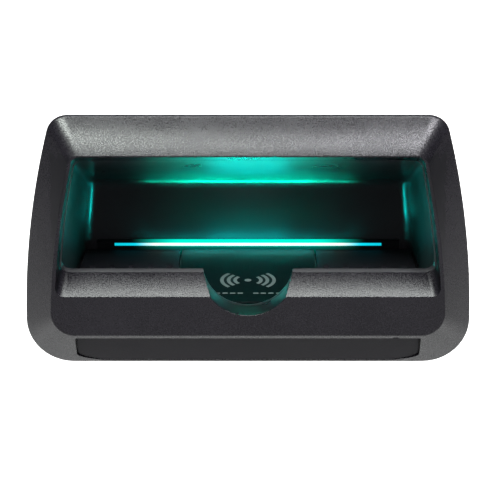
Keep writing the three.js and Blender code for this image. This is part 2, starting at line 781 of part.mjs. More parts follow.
const FINISHES = {
  bezel_plastic: { color: '#38373a', roughness: 0.55, metalness: 0 },
  tub_plastic: { color: '#1d1d20', roughness: 0.5, metalness: 0 },
  strip_plastic: { color: '#333236', roughness: 0.5, metalness: 0 },
  pad_plastic: { color: '#1a1d1f', roughness: 0.4, metalness: 0 },
  mat_rubber: { color: '#1b1b1d', roughness: 0.85, metalness: 0 },
  seal_rubber: { color: '#141414', roughness: 0.9, metalness: 0 },
  bar_plastic: { color: '#141416', roughness: 0.6, metalness: 0 },
  light_diffuser: { color: '#bff8f2', roughness: 0.3, metalness: 0 },
  housing_plastic: { color: '#202124', roughness: 0.6, metalness: 0 },
  board_green: { color: '#14502f', roughness: 0.5, metalness: 0 },
  chip_black: { color: '#16161a', roughness: 0.4, metalness: 0 },
  led_white: { color: '#e8e6c8', roughness: 0.4, metalness: 0 },
  coil_copper: { color: '#a85f36', roughness: 0.4, metalness: 1 },
  ferrite_grey: { color: '#3a3a3c', roughness: 0.8, metalness: 0 },
  screw_steel: { color: '#b4b6b8', roughness: 0.3, metalness: 1 },
  gland_nylon: { color: '#18181a', roughness: 0.6, metalness: 0 },
  can_aluminium: { color: '#a9adb0', roughness: 0.35, metalness: 1 },
  connector_white: { color: '#dcdad2', roughness: 0.5, metalness: 0 },
};

const group = new THREE.Group();

function place(name, finish, solid) {
  const material = new THREE.MeshStandardMaterial(FINISHES[finish]);
  const mesh = new THREE.Mesh(toGeometry(solid), material);
  mesh.name = name;
  group.add(mesh);
}

function placeScrews(name, spots, locate, direction, kind) {
  spots.forEach((spot, i) => {
    place(`${name}_${i + 1}`, 'screw_steel', screwSolid(locate(spot), direction, kind));
  });
}

place('front_bezel', 'bezel_plastic', frontBezel());
place('lower_cover_strip', 'strip_plastic', coverStrip());
place('pocket_tub', 'tub_plastic', pocketTub());
place('flange_gasket', 'seal_rubber', flangeGasket());
place('charging_pad', 'pad_plastic', chargingPad());
place('left_grip_mat', 'mat_rubber', gripMat(-1));
place('right_grip_mat', 'mat_rubber', gripMat(1));
place('light_bar', 'bar_plastic', lightBar());
place('light_window', 'light_diffuser', lightWindow());
place('led_board', 'board_green', ledBoard());
for (let i = 0; i < LED.count; i += 1) {
  place(`led_chip_${i + 1}`, 'led_white', ledChip(i));
}
place('charging_coil', 'coil_copper', chargingCoil());
place('ferrite_plate', 'ferrite_grey', ferritePlate());
place('charger_board', 'board_green', chargerBoard());
place('charger_chip', 'chip_black', boardPart(CHIP));
place('power_inductor', 'ferrite_grey', boardPart(INDUCTOR));
CAPACITOR.ys.forEach((y, i) => place(`filter_capacitor_${i + 1}`, 'can_aluminium', boardCan(y)));
place('lead_connector', 'connector_white', boardPart(CONNECTOR));
place('electronics_housing', 'housing_plastic', electronicsHousing());
place('housing_seal', 'seal_rubber', housingSeal());
place('gland_body', 'gland_nylon', glandBody());
place('gland_seal', 'seal_rubber', glandRing(GLAND_SEAL, 20));
place('gland_lock_nut', 'gland_nylon', glandRing(GLAND_NUT, 6));
place('gland_cap', 'gland_nylon', glandRing(GLAND_CAP, 12));
placeScrews('panel_screw', PANEL_SCREWS, ([x, z]) => [x, FLANGE.front, z], [0, 1, 0], PANEL_SCREW);
placeScrews('bezel_screw', BEZEL_SCREWS, ([x, z]) => [x, BEZEL_SCREW_HEAD, z], [0, 1, 0], BEZEL_SCREW);
const housingHead = ([x, y]) => [x, y, HOUSING_SCREW_HEAD];
placeScrews('housing_screw', HOUSING_SCREWS, housingHead, [0, 0, 1], HOUSING_SCREW);
placeScrews('board_screw', BOARD_SCREWS, ([x, y]) => [x, y, BOARD_SCREW_HEAD], [0, 0, 1], BOARD_SCREW);

export default group;
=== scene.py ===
import math

import bmesh
import bpy
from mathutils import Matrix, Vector


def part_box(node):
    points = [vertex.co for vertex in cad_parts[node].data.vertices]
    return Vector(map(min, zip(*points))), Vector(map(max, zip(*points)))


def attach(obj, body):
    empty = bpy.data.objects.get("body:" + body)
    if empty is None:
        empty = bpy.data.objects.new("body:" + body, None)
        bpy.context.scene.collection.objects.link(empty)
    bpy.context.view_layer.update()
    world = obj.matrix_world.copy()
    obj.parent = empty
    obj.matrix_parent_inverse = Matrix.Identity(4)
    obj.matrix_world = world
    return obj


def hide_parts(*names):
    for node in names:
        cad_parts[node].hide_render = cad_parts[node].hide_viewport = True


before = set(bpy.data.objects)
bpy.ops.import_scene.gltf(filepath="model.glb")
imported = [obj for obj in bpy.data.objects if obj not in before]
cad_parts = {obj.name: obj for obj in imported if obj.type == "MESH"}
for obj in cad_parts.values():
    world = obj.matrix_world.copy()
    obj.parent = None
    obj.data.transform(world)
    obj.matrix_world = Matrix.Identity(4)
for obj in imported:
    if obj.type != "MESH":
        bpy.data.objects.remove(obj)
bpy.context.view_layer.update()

# A recessed wireless charging pocket. Shapes are worked out in millimetres, in the frame's axes:
# +X right, +Y into the panel, +Z up. Meshes are written in metres.
MM = 0.001
POCKET = "pocket"
STRIP_BODY = "cover_strip"


def box_mm(node):
    low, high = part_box(node)
    return low / MM, high / MM


# ---------------------------------------------------------------- sizes

bezel_low, bezel_high = box_mm("front_bezel")
pad_low, pad_high = box_mm("charging_pad")
window_low, window_high = box_mm("light_window")
tub_high = box_mm("pocket_tub")[1]
bar_high = box_mm("light_bar")[1]
strip_high = box_mm("lower_cover_strip")[1]
mat_low = box_mm("right_grip_mat")[0]

# Most of the sizes that the frame's boxes do not give repeat the CAD's.

# Each side is an arc: its widest x, the height of that, and the radius of the bow.
BEZEL_SIDE = (110.35, -47.0, 420.0)
MOUTH_SIDE = (95.5, -52.0, 440.0)
BACK_SIDE = (86.8, -52.0, 440.0)

HALF_HEIGHT = bezel_high.z
BEZEL_REAR = bezel_high.y
BEZEL_WALL = 2.4
BEZEL_TOP_CORNER = 10.5
BEZEL_BOTTOM_CORNER = 23.0
RIM_FRONT = -2.64  # where the bezel's rim ends and its bevel starts
CREASE_BOTTOM = -44.7
CREASE_TOP = 48.6
CREASE_MARGIN = 1.7  # how much wider the crease is than the mouth, on each side
CREASE_BOTTOM_CORNER = 11.5
CREASE_INSET = 0.9  # how much smaller the crease is on the hollow side of the wall
FRONT_LEAN = 0.0175
FRONT_STAND = -bezel_low.y + FRONT_LEAN * CREASE_BOTTOM
BEVEL_CROWN = 0.55
LIP_CROWN = 0.1

FLANGE_REAR = -1.3
FLANGE_FRONT = -3.3
FLANGE_INSET = 4.2
FLANGE_BOTTOM = -58.5
FLANGE_TOP_CORNER = 9.8
FLANGE_BOTTOM_CORNER = 16.5

MOUTH_TOP = 47.8
MOUTH_BOTTOM = -24.1
MOUTH_FRONT = -FRONT_STAND
MOUTH_END = FLANGE_FRONT - 0.3
MOUTH_WALL = 2.2
MOUTH_TOP_CORNER = 4.0
MOUTH_BOTTOM_CORNER = 4.5
LIP_BACK = -14.6
SCOOP_RADIUS = 22.4
SCOOP_BOTTOM = -34.0
SCOOP = (SCOOP_BOTTOM + SCOOP_RADIUS, SCOOP_RADIUS)

TUB_WALL = 2.4
TUB_BACK = tub_high.y - TUB_WALL
TUB_FLOOR = pad_low.z - 0.3
TUB_EASE = 0.1  # how far the tub's inside is set out, clear of the pieces in it
TUB_STEP = 0.45  # how much narrower the tub is than the bezel's mouth, on each side
CEILING_SLOPE = 0.494
CEILING_FILLET = 8.3
CORNER_FILLET = 4.5
FLOOR_CORNER = 1.2

PAD_SLOPE = -1.6 / 73.6
PAD_FRONT_TOP = -33.3
PAD_CORNER = 2.0
PAD_ROUNDING = 0.9
PAD_RIM = 1.6

# The cover strip leans less than the bevel that it is let into.
STRIP_LEAN = math.radians(22)
STRIP_LENGTH = 18.7
STRIP_HALF = strip_high.x
STRIP_THICKNESS = 1.2
STRIP_GAP = 0.5
STRIP_FOOT = 22.0  # from the crease down the bevel to the strip's foot
STRIP_SWEEP = (13.0, 5.5, 2.1)  # lower corner: reach along, reach up, and up to its control point
STRIP_UPPER_CORNER = 0.8
STRIP_CORNER_MIDDLE = 0.23  # how far the middle of the upper corner lies in from both edges
STRIP_RIM = 2.0
RECESS_FRONT = 0.2
RECESS_DEPTH = 1.5
RECESS_WALL = 1.6
RECESS_MARGIN = 1.4
CLEAR_OF_BEZEL = -8.0  # a depth in front of the bezel, where the cuts start

# The smooth wall inside the mouth starts this far behind the front plane.
RETURN_START = 0.35
RETURN_TOP_START = 0.05
RETURN_TOP_BAND = 6.0

MAT_DROP = 0.2
MAT_OUTER_FRONT = 89.0
MAT_OUTER_BACK = 85.3
MAT_EASE = 0.6
MAT_EDGE_STEP = 0.2  # the first step in from the mat's edges
GROOVE_COUNT = 5
GROOVE_FIRST = 40.5
GROOVE_PITCH = 10.0
GROOVE_WIDTH = 2.4
GROOVE_DEPTH = 0.8
GROOVE_END = 48.0
GROOVE_RUNOUT = 1.2  # the length in which a groove rises to the mat's top at its end
GROOVE_SHOULDER = 0.62  # where a flank meets the mat's top, in groove widths from the middle
GROOVE_FLANK = 0.24  # how wide a flank is, in groove widths
GROOVE_FLANK_POINTS = (0.38, 0.46, 0.54, GROOVE_SHOULDER)

MARK_Y = 28.6
ARC_RADII = (13.3, 9.9, 6.6)
ARC_HALF_WIDTH = 0.9
ARC_SPREAD = math.radians(43.5)
DOT_RADIUS = 1.7
DASH_Y = 11.0
DASH_LENGTH = 2.6
DASH_HALF_WIDTH = 0.8
DASH_CORNER = 0.3
DASH_FIRST = 2.6
DASH_PITCH = 3.8
DASH_COUNT = 4

# How far the diffuser's white and cyan reach across, and how far the painted glow on the bar's plastic
# reaches across and down.
GLOW_WHITE_HALF = 46.0
GLOW_CYAN_FROM = 60.0
PAINTED_GLOW_HALF = 34.0
PAINTED_GLOW_END = 62.0
PAINTED_GLOW_LOW = -34.6

# Points along the right half of every outline, from the bottom middle to the top middle.
SCOOP_STEPS = 18
LIP_STEPS = 14
LOW_CORNER_STEPS = 12
SIDE_STEPS = 20
HIGH_CORNER_STEPS = 12
TOP_STEPS = 14

SHARP_ANGLE = math.radians(35)


# ---------------------------------------------------------------- outlines

def blend(a, b, t):
    return a + (b - a) * t


def smooth_step(t):
    t = max(0.0, min(1.0, t))
    return t * t * (3 - 2 * t)


def arc(centre_x, centre_z, radius, start, end, steps):
    """Points along an arc, without its last one."""
    turns = [blend(start, end, i / steps) for i in range(steps)]
    return [(centre_x + radius * math.cos(a), centre_z + radius * math.sin(a)) for a in turns]


def bottom_edge(bottom, corner_x, scoop, grow):
    """Points from the middle of the bottom edge to where its corner starts."""
    points = []
    if scoop:
        scoop_z, scoop_radius = scoop[0], scoop[1] + grow
        notch = math.sqrt(scoop_radius ** 2 - (bottom - scoop_z) ** 2)
        reach = math.atan2(notch, scoop_z - bottom)
        for i in range(SCOOP_STEPS):
            turn = reach * i / SCOOP_STEPS
            points.append((scoop_radius * math.sin(turn), scoop_z - scoop_radius * math.cos(turn)))
    else:
        notch = min(SCOOP_RADIUS, corner_x * 0.5)
        points += [(notch * i / SCOOP_STEPS, bottom) for i in range(SCOOP_STEPS)]
    return points + [(blend(notch, corner_x, i / LIP_STEPS), bottom) for i in range(LIP_STEPS)]


def outline(top, bottom, side, top_corner, bottom_corner, scoop=None, grow=0.0):
    """Closed outline of (x, z) points, with an arc for each side and rounded corners.

    scoop is (centre z, radius) of a round notch in the bottom edge. grow moves it all outwards."""
    side_x, side_z, side_radius = side
    side_x += grow
    side_radius += grow
    top += grow
    bottom -= grow
    top_corner += grow
    bottom_corner += grow
    centre_x = side_x - side_radius

    def corner(z, radius):
        """The x of a corner's centre, and the turn at which the corner meets the side."""
        x = centre_x + math.sqrt((side_radius - radius) ** 2 - (z - side_z) ** 2)
        return x, math.atan2(z - side_z, x - centre_x)

    low_z = bottom + bottom_corner
    high_z = top - top_corner
    low_x, low_turn = corner(low_z, bottom_corner)
    high_x, high_turn = corner(high_z, top_corner)
    quarter = math.pi / 2
    points = bottom_edge(bottom, low_x, scoop, grow)
    points += arc(low_x, low_z, bottom_corner, -quarter, low_turn, LOW_CORNER_STEPS)
    points += arc(centre_x, side_z, side_radius, low_turn, high_turn, SIDE_STEPS)
    points += arc(high_x, high_z, top_corner, high_turn, quarter, HIGH_CORNER_STEPS)
    points += [(high_x * (1 - i / TOP_STEPS), top) for i in range(TOP_STEPS + 1)]
    return points + [(-x, z) for x, z in points[-2:0:-1]]


def front_plane(z):
    """The depth of the bezel's front, which leans back towards its top."""
    return -(FRONT_STAND - FRONT_LEAN * z)


def ring(points, depth):
    """The outline set at a depth, which is a number or a function of z."""
    if callable(depth):
        return [Vector((x, depth(z), z)) for x, z in points]
    return [Vector((x, depth, z)) for x, z in points]


def bezel_outline(grow=0.0):
    corners = (BEZEL_TOP_CORNER, BEZEL_BOTTOM_CORNER)
    return outline(HALF_HEIGHT, -HALF_HEIGHT, BEZEL_SIDE, *corners, grow=grow)


def crease_outline(grow=0.0):
    side = (MOUTH_SIDE[0] + CREASE_MARGIN, *MOUTH_SIDE[1:])
    corners = (MOUTH_TOP_CORNER + CREASE_MARGIN, CREASE_BOTTOM_CORNER)
    return outline(CREASE_TOP, CREASE_BOTTOM, side, *corners, grow=grow)


def pocket_side(y):
    t = (y - MOUTH_FRONT) / (TUB_BACK - MOUTH_FRONT)
    return tuple(blend(a, b, t) for a, b in zip(MOUTH_SIDE, BACK_SIDE))


def ceiling_height(y):
    return MOUTH_TOP - CEILING_SLOPE * (y - front_plane(MOUTH_TOP))


def lip_height(y):
    rise = (LIP_BACK - MOUTH_BOTTOM) / (FLANGE_REAR - MOUTH_FRONT)
    return MOUTH_BOTTOM + rise * (y - MOUTH_FRONT)


def mouth_outline(y, grow=0.0, squeeze=0.0):
    """The pocket's outline in front of the floor, with the lip and the scoop below."""
    side_x, *bow = pocket_side(y)
    corners = (MOUTH_TOP_CORNER, MOUTH_BOTTOM_CORNER)
    return outline(ceiling_height(y), lip_height(y), (side_x - squeeze, *bow), *corners, SCOOP, grow)


def tub_outline(y, top, squeeze, grow):
    """The pocket's outline behind the flange, down to the floor under the pad."""
    side_x, *bow = pocket_side(y)
    corners = (MOUTH_TOP_CORNER, FLOOR_CORNER)
    return outline(top, TUB_FLOOR, (side_x - squeeze, *bow), *corners, grow=grow)


def flange_outline():
    side_x, side_z, bow = BEZEL_SIDE
    side = (side_x - FLANGE_INSET, side_z, bow - FLANGE_INSET)
    return outline(HALF_HEIGHT - FLANGE_INSET, FLANGE_BOTTOM, side, FLANGE_TOP_CORNER, FLANGE_BOTTOM_CORNER)


# ---------------------------------------------------------------- meshes

def link_object(name, data):
    obj = bpy.data.objects.new(name, data)
    bpy.context.scene.collection.objects.link(obj)
    return obj


def new_mesh(name, vertices, faces):
    mesh = bpy.data.meshes.new(name)
    mesh.from_pydata([v * MM for v in vertices], [], faces)
    return mesh


def new_piece(name, vertices, faces, body, material, replaces=()):
    mesh = new_mesh(name, vertices, faces)
    mesh.validate()
    tidy_normals(mesh)
    mesh.materials.append(material)
    obj = link_object(name, mesh)
    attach(obj, body)
    if replaces:
        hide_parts(*replaces)
    return obj


def tidy_normals(mesh):
    """Points the faces outwards and shades them smooth, except over sharp edges."""
    work = bmesh.new()
    work.from_mesh(mesh)
    bmesh.ops.recalc_face_normals(work, faces=work.faces)
    for face in work.faces:
        face.smooth = True
    work.to_mesh(mesh)
    work.free()
    mesh.set_sharp_from_angle(angle=SHARP_ANGLE)


def weigh_normals(obj):
    modifier = obj.modifiers.new("weighted", "WEIGHTED_NORMAL")
    modifier.keep_sharp = True
    modifier.weight = 80


def ring_faces(rings, closed):
    """Faces between the rings, which meet end to end when closed and are capped when not."""
    size = len(rings[0])
    faces = []
    for r in range(len(rings) if closed else len(rings) - 1):
        a0 = r * size
        b0 = ((r + 1) % len(rings)) * size
        for i in range(size):
            j = (i + 1) % size
            faces.append((a0 + i, a0 + j, b0 + j, b0 + i))
    if not closed:
        last = (len(rings) - 1) * size
        faces.append(tuple(range(size - 1, -1, -1)))
        faces.append(tuple(range(last, last + size)))
    return faces


def plain_ring(key):
    return key if isinstance(key, list) else key[0]


def rounded_rings(keys):
    """Rings through key rings. A key is a ring, or (ring, rounding, steps) where the fold at that
    ring is eased, point by point, by a rounding in mm."""
    rings = []
    count = len(keys)
    for k, key in enumerate(keys):
        if isinstance(key, list):
            rings.append(key)
            continue
        here, rounding, steps = key
        before = plain_ring(keys[k - 1])
        after = plain_ring(keys[(k + 1) % count])
        for s in range(steps + 1):
            t = s / steps
            eased = []
            for p, a, b in zip(here, before, after):
                to_a, to_b = a - p, b - p
                start = p + to_a * min(0.45, rounding / max(to_a.length, 1e-6))
                end = p + to_b * min(0.45, rounding / max(to_b.length, 1e-6))
                eased.append(start * (1 - t) ** 2 + p * (2 * t * (1 - t)) + end * t * t)
            rings.append(eased)
    return rings


def crowned(first, last, steps, height):
    """Rings between two rings, bulging by a height in mm in the middle, where the wall faces up."""
    size = len(first)
    rings = []
    for s in range(1, steps):
        t = s / steps
        lift = height * 4 * t * (1 - t)
        raised = []
        for i, (a, b) in enumerate(zip(first, last)):
            along = first[(i + 1) % size] - first[i - 1]
            outward = along.cross(b - a).normalized()
            if outward.y > 0:
                outward.negate()
            raised.append(a.lerp(b, t) + outward * lift * smooth_step(outward.z / 0.5))
        rings.append(raised)
    return rings


def ring_piece(name, rings, closed, body, material, replaces=()):
    vertices = [p for one in rings for p in one]
    return new_piece(name, vertices, ring_faces(rings, closed), body, material, replaces)


def helper_solid(name, rings):
    """A closed helper body for a cut or a join; it never stays in the scene."""
    mesh = new_mesh(name, [p for one in rings for p in one], ring_faces(rings, closed=False))
    tidy_normals(mesh)
    return link_object(name, mesh)


def combine(obj, other, operation):
    """Joins or cuts one mesh with another, and removes the other."""
    modifier = obj.modifiers.new("combine", "BOOLEAN")
    modifier.operation = operation
    modifier.solver = "EXACT"
    modifier.object = other
    bpy.context.view_layer.update()
    evaluated = obj.evaluated_get(bpy.context.evaluated_depsgraph_get())
    mesh = bpy.data.meshes.new_from_object(evaluated)
    obj.modifiers.clear()
    obj.data = mesh
    bpy.data.objects.remove(other)
    tidy_normals(obj.data)


# ---------------------------------------------------------------- materials

def srgb(hex_colour):
    parts = [int(hex_colour[i:i + 2], 16) / 255 for i in (1, 3, 5)]
    return [c / 12.92 if c <= 0.04045 else ((c + 0.055) / 1.055) ** 2.4 for c in parts] + [1]


def new_material(name):
    material = bpy.data.materials.new(name)
    material.use_nodes = True
    tree = material.node_tree
    return material, tree, tree.nodes["Principled BSDF"]


def add_node(tree, kind, **values):
    node = tree.nodes.new(kind)
    for key, value in values.items():
        if key in node.inputs:
            node.inputs[key].default_value = value
        else:
            setattr(node, key, value)
    return node


def noise(tree, scale, detail=2.0, roughness=0.5):
    place = add_node(tree, "ShaderNodeTexCoord")
    made = add_node(tree, "ShaderNodeTexNoise", Scale=scale, Detail=detail, Roughness=roughness)
    tree.links.new(place.outputs["Object"], made.inputs["Vector"])
    return made.outputs["Fac"]


def ramp(tree, source, low, high, at=(0.35, 0.65)):
    made = add_node(tree, "ShaderNodeValToRGB")
    made.color_ramp.elements[0].position = at[0]
    made.color_ramp.elements[1].position = at[1]
    made.color_ramp.elements[0].color = low
    made.color_ramp.elements[1].color = high
    tree.links.new(source, made.inputs["Fac"])
    return made.outputs["Color"]


def map_range(tree, source, low, high, from_low=0.3, from_high=0.7):
    made = add_node(tree, "ShaderNodeMapRange")
    limits = {"From Min": from_low, "From Max": from_high, "To Min": low, "To Max": high}
    for socket, value in limits.items():
        made.inputs[socket].default_value = value
    tree.links.new(source, made.inputs["Value"])
    return made.outputs["Result"]


def add_bumps(tree, shader, layers):
    """Chains bumps into the shader's normal. Each layer is (height source, strength, distance)."""
    last = None
    for source, strength, distance in layers:
        bump = add_node(tree, "ShaderNodeBump", Strength=strength, Distance=distance)
        tree.links.new(source, bump.inputs["Height"])
        if last:
            tree.links.new(last, bump.inputs["Normal"])
        last = bump.outputs["Normal"]
    tree.links.new(last, shader.inputs["Normal"])


def moulded_plastic(name, dark, light, roughness, grain, grain_height, specular=0.5, sparkle=0.0):
    """Moulded plastic with a fine grain, faint colour drift and uneven gloss.

    grain and grain_height are in mm. sparkle is how much the roughness varies with the grain."""
    material, tree, shader = new_material(name)
    fine = noise(tree, 1000 / grain, detail=3)
    drift = noise(tree, 30, detail=4)
    colour = add_node(tree, "ShaderNodeMix", data_type="RGBA")
    colour.inputs["Factor"].default_value = 0.35
    tree.links.new(ramp(tree, fine, srgb(dark), srgb(light)), colour.inputs[6])
    tree.links.new(ramp(tree, drift, srgb(dark), srgb(light)), colour.inputs[7])
    tree.links.new(colour.outputs[2], shader.inputs["Base Color"])
    gloss = add_node(tree, "ShaderNodeMath", operation="ADD")
    tree.links.new(map_range(tree, drift, roughness - 0.04, roughness + 0.04), gloss.inputs[0])
    tree.links.new(map_range(tree, fine, -sparkle, sparkle, 0.35, 0.65), gloss.inputs[1])
    tree.links.new(gloss.outputs["Value"], shader.inputs["Roughness"])
    shader.inputs["Specular IOR Level"].default_value = specular
    coarse = noise(tree, 400 / grain)
    add_bumps(tree, shader, [(fine, 0.6, grain_height * MM), (coarse, 0.25, grain_height * MM)])
    return material


def metal(name, colour, roughness):
    material, tree, shader = new_material(name)
    shader.inputs["Metallic"].default_value = 1.0
    shader.inputs["Base Color"].default_value = srgb(colour)
    scratches = noise(tree, 900, detail=4)
    uneven = map_range(tree, scratches, roughness - 0.08, roughness + 0.12)
    tree.links.new(uneven, shader.inputs["Roughness"])
    add_bumps(tree, shader, [(scratches, 0.15, 0.02 * MM)])
    return material


def glow_places(tree):
    """The distance from the middle of the light to either side, and the height."""
    place = add_node(tree, "ShaderNodeTexCoord")
    split = add_node(tree, "ShaderNodeSeparateXYZ")
    tree.links.new(place.outputs["Object"], split.inputs["Vector"])
    across = add_node(tree, "ShaderNodeMath", operation="ABSOLUTE")
    tree.links.new(split.outputs["X"], across.inputs[0])
    return across.outputs["Value"], split.outputs["Z"]


def eased_range(tree, source, low, high, from_low, from_high):
    result = map_range(tree, source, low, high, from_low, from_high)
    result.node.interpolation_type = "SMOOTHSTEP"
    return result


def product(tree, a, b):
    made = add_node(tree, "ShaderNodeMath", operation="MULTIPLY")
    tree.links.new(a, made.inputs[0])
    tree.links.new(b, made.inputs[1])
    return made.outputs["Value"]


def glow_material(name):
    """The lit diffuser: white in the middle of its length, cyan towards its ends."""
    material, tree, shader = new_material(name)
    across, _ = glow_places(tree)
    fade = eased_range(tree, across, 1.0, 0.0, GLOW_WHITE_HALF * MM, GLOW_CYAN_FROM * MM)
    colour = ramp(tree, fade, srgb("#00d8f0"), srgb("#f4ffff"), (0.0, 0.9))
    tree.links.new(colour, shader.inputs["Emission Color"])
    ripple = map_range(tree, noise(tree, 60, detail=1), 0.94, 1.06)
    strength = eased_range(tree, across, 1.3, 0.85, GLOW_WHITE_HALF * MM, window_high.x * MM)
    tree.links.new(product(tree, strength, ripple), shader.inputs["Emission Strength"])
    shader.inputs["Base Color"].default_value = srgb("#2a8f8c")
    shader.inputs["Roughness"].default_value = 0.3
    return material


def painted_glow_bar_material(name):
    """The plastic of the light bar, with a painted glow next to the diffuser: emission that stands in for
    the diffuser's light falling on the bar.
    """
    material = moulded_plastic(name, "#0c0c0e", "#131316", 0.45, 0.6, 0.01, 0.3)
    tree = material.node_tree
    shader = tree.nodes["Principled BSDF"]
    across, height = glow_places(tree)
    fade = eased_range(tree, across, 1.0, 0.0, PAINTED_GLOW_HALF * MM, PAINTED_GLOW_END * MM)
    above = eased_range(tree, height, 0.10, 1.0, PAINTED_GLOW_LOW * MM, window_high.z * MM)
    # Painted glow: teal emission on the dark plastic, strongest by the diffuser and fading away across and
    # down.
    shader.inputs["Emission Color"].default_value = (0.0, 1.0, 0.72, 1)
    tree.links.new(product(tree, fade, above), shader.inputs["Emission Strength"])
    return material


# Darkest and lightest colour, roughness, size and height of the grain, specular level, sparkle.
BEZEL_PLASTIC = moulded_plastic("bezel_plastic", "#0f0e12", "#1a181d", 0.28, 0.6, 0.08, 0.35, 0.05)
RETURN_PLASTIC = moulded_plastic("return_plastic", "#0c0c0f", "#121115", 0.30, 0.5, 0.00005, 0.35)
STRIP_PLASTIC = moulded_plastic("strip_plastic", "#100f13", "#19171c", 0.48, 0.6, 0.04, 0.14)
TUB_PLASTIC = moulded_plastic("tub_plastic", "#1e1e21", "#252528", 0.31, 0.5, 0.00005, 0.5)
PAD_PLASTIC = moulded_plastic("pad_plastic", "#030a0b", "#061011", 0.42, 0.5, 0.002, 0.045)
MAT_RUBBER = moulded_plastic("mat_rubber", "#19181c", "#242328", 0.6, 0.4, 0.01, 0.10)
SEAL_RUBBER = moulded_plastic("seal_rubber", "#101010", "#181818", 0.85, 0.6, 0.03, 0.2)
# The bar's plastic carries a painted glow round the diffuser.
BAR_PLASTIC_PAINTED_GLOW = painted_glow_bar_material("bar_plastic")
HOUSING_PLASTIC = moulded_plastic("housing_plastic", "#1b1c1f", "#26272b", 0.55, 0.7, 0.03)
GLAND_NYLON = moulded_plastic("gland_nylon", "#131315", "#1d1d20", 0.5, 0.5, 0.02)
BOARD_GREEN = moulded_plastic("board_green", "#0d4427", "#155733", 0.4, 1.5, 0.01)
CHIP_BLACK = moulded_plastic("chip_black", "#101013", "#1a1a1e", 0.45, 0.3, 0.01)
FERRITE_GREY = moulded_plastic("ferrite_grey", "#303032", "#424244", 0.8, 0.4, 0.02)
CONNECTOR_WHITE = moulded_plastic("connector_white", "#d2d0c8", "#e2e0d8", 0.5, 0.6, 0.01)
LED_WHITE = moulded_plastic("led_white", "#e0dec0", "#f0eed8", 0.35, 0.6, 0.01)
PRINT_GREY = moulded_plastic("print_grey", "#4a5453", "#616b6a", 0.5, 0.4, 0.005)
SCREW_STEEL = metal("screw_steel", "#b4b6b8", 0.3)
COIL_COPPER = metal("coil_copper", "#a85f36", 0.35)
CAN_ALUMINIUM = metal("can_aluminium", "#a9adb0", 0.35)
WINDOW_GLOW = glow_material("light_diffuser")


# ---------------------------------------------------------------- bezel

def bezel_keys():
    """Key rings round the wall's section: rim, bevel, front, mouth, and back along the hollow side."""
    def inner_plane(z):
        return front_plane(z) + BEZEL_WALL

    rim = ring(bezel_outline(), BEZEL_REAR)
    edge = ring(bezel_outline(), RIM_FRONT)
    crease = ring(crease_outline(), front_plane)
    mouth = ring(mouth_outline(MOUTH_FRONT), front_plane)
    end = ring(mouth_outline(MOUTH_END), MOUTH_END)
    return [
        (rim, 0.3, 2),
        (edge, 0.7, 4),
        *crowned(edge, crease, 10, BEVEL_CROWN),
        (crease, 0.4, 4),
        (mouth, 0.3, 4),
        *crowned(mouth, end, 6, LIP_CROWN),
        (end, 0.2, 2),
        ring(mouth_outline(MOUTH_END, MOUTH_WALL), MOUTH_END),
        ring(mouth_outline(MOUTH_FRONT, MOUTH_WALL), inner_plane),
        ring(crease_outline(-CREASE_INSET), inner_plane),
        ring(bezel_outline(-BEZEL_WALL), RIM_FRONT),
        ring(bezel_outline(-BEZEL_WALL), BEZEL_REAR),
    ]


# The strip's own directions, down its face and inwards, and the middle of its upper edge.
strip_down = Vector((0, math.sin(STRIP_LEAN), -math.cos(STRIP_LEAN)))
strip_inward = Vector((1, 0, 0)).cross(strip_down)
bevel_head = Vector((0, front_plane(CREASE_BOTTOM), CREASE_BOTTOM))
bevel_foot = Vector((0, FLANGE_FRONT, 1 - HALF_HEIGHT))
strip_foot = bevel_head + (bevel_foot - bevel_head).normalized() * STRIP_FOOT
strip_head = strip_foot - strip_down * STRIP_LENGTH


def strip_outline(grow, corner_steps=16):
    """Points (x, distance down the face) round the strip; its lower corners sweep in."""
    half = STRIP_HALF + grow
    bottom = STRIP_LENGTH + grow
    along, up, control = STRIP_SWEEP
    sweep = ((half, bottom - up), (half, bottom - control), (half - along, bottom))
    corner, middle = STRIP_UPPER_CORNER, STRIP_CORNER_MIDDLE
    right = [(half - corner, -grow), (half - middle, middle - grow), (half, corner - grow)]
    for i in range(corner_steps + 1):
        t = i / corner_steps
        weights = ((1 - t) ** 2, 2 * t * (1 - t), t * t)
        right.append(tuple(sum(w * p[k] for w, p in zip(weights, sweep)) for k in (0, 1)))
    return right + [(-x, down) for x, down in reversed(right)]


def on_strip(points, depth):
    """Points of an outline on the strip, moved in from its face by a depth."""
    return [strip_head + Vector((x, 0, 0)) + strip_down * down + strip_inward * depth for x, down in points]


def strip_prism(name, points, front, rear):
    """A helper body with an outline on the strip's face, from one depth to another."""
    return helper_solid(name, [on_strip(points, front), on_strip(points, rear)])


def recess_backing():
    """The walls behind and around the strip's recess, which close the hollow bezel there."""
    return strip_prism("backing", strip_outline(RECESS_MARGIN), RECESS_FRONT, RECESS_DEPTH + RECESS_WALL)


def recess_space():
    return strip_prism("recess", strip_outline(STRIP_GAP), CLEAR_OF_BEZEL, RECESS_DEPTH)


def pry_notch_space(x=73.0, radius=1.8, rise=0.3, steps=20):
    """A round notch in the ledge above the strip, near its right end."""
    turns = [math.tau * i / steps for i in range(steps)]
    points = [(x + radius * math.cos(a), rise + radius * math.sin(a)) for a in turns]
    return strip_prism("pry_notch", points, CLEAR_OF_BEZEL, RECESS_DEPTH)


def smooth_return(bezel):
    """Gives the walls that turn back into the mouth a smooth finish; the lip keeps the grain."""
    bezel.data.materials.append(RETURN_PLASTIC)
    start = front_plane(0) + RETURN_START
    top_start = front_plane(MOUTH_TOP) + RETURN_TOP_START
    for face in bezel.data.polygons:
        centre = face.center / MM
        inside = abs(centre.x) < MOUTH_SIDE[0] and SCOOP_BOTTOM < centre.z < MOUTH_TOP
        lip = face.normal.z > 0.5 and face.normal.y < -0.3
        near_top = centre.z > MOUTH_TOP - RETURN_TOP_BAND
        if inside and not lip and centre.y > (top_start if near_top else start):
            face.material_index = 1


